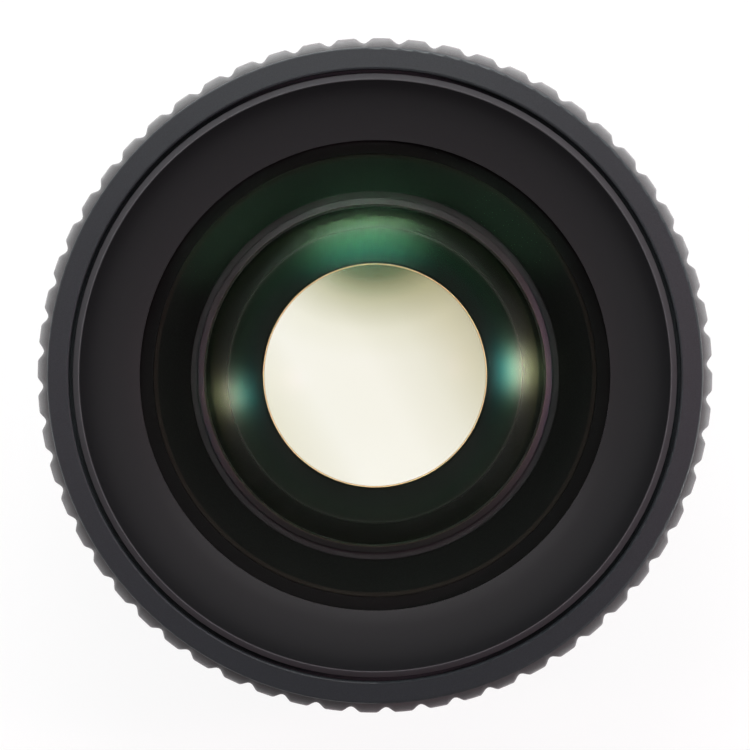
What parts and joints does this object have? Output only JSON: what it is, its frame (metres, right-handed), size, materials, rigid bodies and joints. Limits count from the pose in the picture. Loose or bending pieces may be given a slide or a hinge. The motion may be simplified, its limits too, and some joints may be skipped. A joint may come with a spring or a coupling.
{
  "type": "camera lens",
  "caption": "Interchangeable prime camera lens with a ribbed focusing grip, dished front ring, coated glass, working iris and bayonet mount.",
  "frame": {"origin": "on the optical axis at the rear end of the bayonet tube", "axes": "+Z along the optical axis towards the front glass; +Y towards the alignment bead"},
  "size_m": [0.065, 0.065, 0.0535],
  "materials": {
    "mount_metal": "fine turned, bright",
    "screw_steel": "bright",
    "barrel_black": "black anodised, matte",
    "name_black": "black anodised, satin",
    "cell_black": "black anodised, flat",
    "retainer_grey": "dull",
    "rubber_black": "powdery matte",
    "baffle_black": "flat black",
    "guide_metal": "turned",
    "brass_plain": "turned",
    "stop_black": "black anodised, flat",
    "blade_black": "dark, dry",
    "bead_red": "gloss",
    "front_glass": "coated",
    "inner_glass": "coated",
    "rear_glass": "coated"
  },
  "bodies": {
    "fixed_barrel": {"mount_ring": "mount_metal", "mount_screws": "screw_steel", "rear_barrel": "barrel_black", "guide_tube": "guide_metal", "rear_baffle": "baffle_black", "index_ring": "barrel_black", "sleeve_retainer": "guide_metal", "alignment_bead": "bead_red"},
    "focusing_ring": {"focus_sleeve": "barrel_black", "rubber_grip": "rubber_black"},
    "stop_ring": {"aperture_ring": "barrel_black"},
    "optical_block": {"front_barrel": "barrel_black", "name_ring": "name_black", "front_cell": "cell_black", "front_element": "front_glass", "front_baffle": "baffle_black", "second_retainer": "retainer_grey", "second_element": "inner_glass", "third_element": "inner_glass", "stop_plate": "stop_black", "blade_pivots": "screw_steel", "iris_housing": "cell_black", "rear_cell": "cell_black", "fourth_element": "inner_glass", "fifth_element": "rear_glass", "rear_spacer": "cell_black", "rear_element": "rear_glass", "rear_retainer": "cell_black", "guide_keys": "brass_plain"},
    "iris_drive": {"cam_ring": "brass_plain", "drive_arm": "brass_plain", "drive_pin": "screw_steel"},
    "iris_blade_1": {"blade_1": "blade_black"},
    "iris_blade_2": {"blade_2": "blade_black"},
    "iris_blade_3": {"blade_3": "blade_black"},
    "iris_blade_4": {"blade_4": "blade_black"},
    "iris_blade_5": {"blade_5": "blade_black"},
    "iris_blade_6": {"blade_6": "blade_black"},
    "iris_blade_7": {"blade_7": "blade_black"}
  },
  "joints": [
    {"name": "focus_turn", "type": "hinge", "parent": "fixed_barrel", "child": "focusing_ring", "pos_m": [0, 0, 0.034], "axis": [0, 0, 1], "range_deg": [0, 100]},
    {"name": "focus_slide", "type": "slide", "parent": "fixed_barrel", "child": "optical_block", "axis": [0, 0, 1], "range_m": [0, 0.005]},
    {"name": "stop_turn", "type": "hinge", "parent": "fixed_barrel", "child": "stop_ring", "pos_m": [0, 0, 0.015], "axis": [0, 0, 1], "range_deg": [0, 40]},
    {"name": "cam_turn", "type": "hinge", "parent": "optical_block", "child": "iris_drive", "pos_m": [0, 0, 0.0257], "axis": [0, 0, 1], "range_deg": [0, 40]},
    {"name": "blade_1_swing", "type": "hinge", "parent": "optical_block", "child": "iris_blade_1", "pos_m": [0.0186, 0, 0.027], "axis": [0, 0, 1], "range_deg": [0, 28]},
    {"name": "blade_2_swing", "type": "hinge", "parent": "optical_block", "child": "iris_blade_2", "pos_m": [0.0116, 0.01454, 0.0273], "axis": [0, 0, 1], "range_deg": [0, 28]},
    {"name": "blade_3_swing", "type": "hinge", "parent": "optical_block", "child": "iris_blade_3", "pos_m": [-0.00414, 0.01813, 0.0276], "axis": [0, 0, 1], "range_deg": [0, 28]},
    {"name": "blade_4_swing", "type": "hinge", "parent": "optical_block", "child": "iris_blade_4", "pos_m": [-0.01676, 0.00807, 0.0279], "axis": [0, 0, 1], "range_deg": [0, 28]},
    {"name": "blade_5_swing", "type": "hinge", "parent": "optical_block", "child": "iris_blade_5", "pos_m": [-0.01676, -0.00807, 0.0282], "axis": [0, 0, 1], "range_deg": [0, 28]},
    {"name": "blade_6_swing", "type": "hinge", "parent": "optical_block", "child": "iris_blade_6", "pos_m": [-0.00414, -0.01813, 0.0285], "axis": [0, 0, 1], "range_deg": [0, 28]},
    {"name": "blade_7_swing", "type": "hinge", "parent": "optical_block", "child": "iris_blade_7", "pos_m": [0.0116, -0.01454, 0.0288], "axis": [0, 0, 1], "range_deg": [0, 28]}
  ],
  "couplings": [
    {"joint": "focus_turn", "follows": "focus_slide", "rad_per_m": 349.06},
    {"joint": "cam_turn", "follows": "stop_turn", "ratio": 1},
    {"joint": "blade_1_swing", "follows": "stop_turn", "ratio": 0.6999},
    {"joint": "blade_2_swing", "follows": "stop_turn", "ratio": 0.6999},
    {"joint": "blade_3_swing", "follows": "stop_turn", "ratio": 0.6999},
    {"joint": "blade_4_swing", "follows": "stop_turn", "ratio": 0.6999},
    {"joint": "blade_5_swing", "follows": "stop_turn", "ratio": 0.6999},
    {"joint": "blade_6_swing", "follows": "stop_turn", "ratio": 0.6999},
    {"joint": "blade_7_swing", "follows": "stop_turn", "ratio": 0.6999}
  ]
}
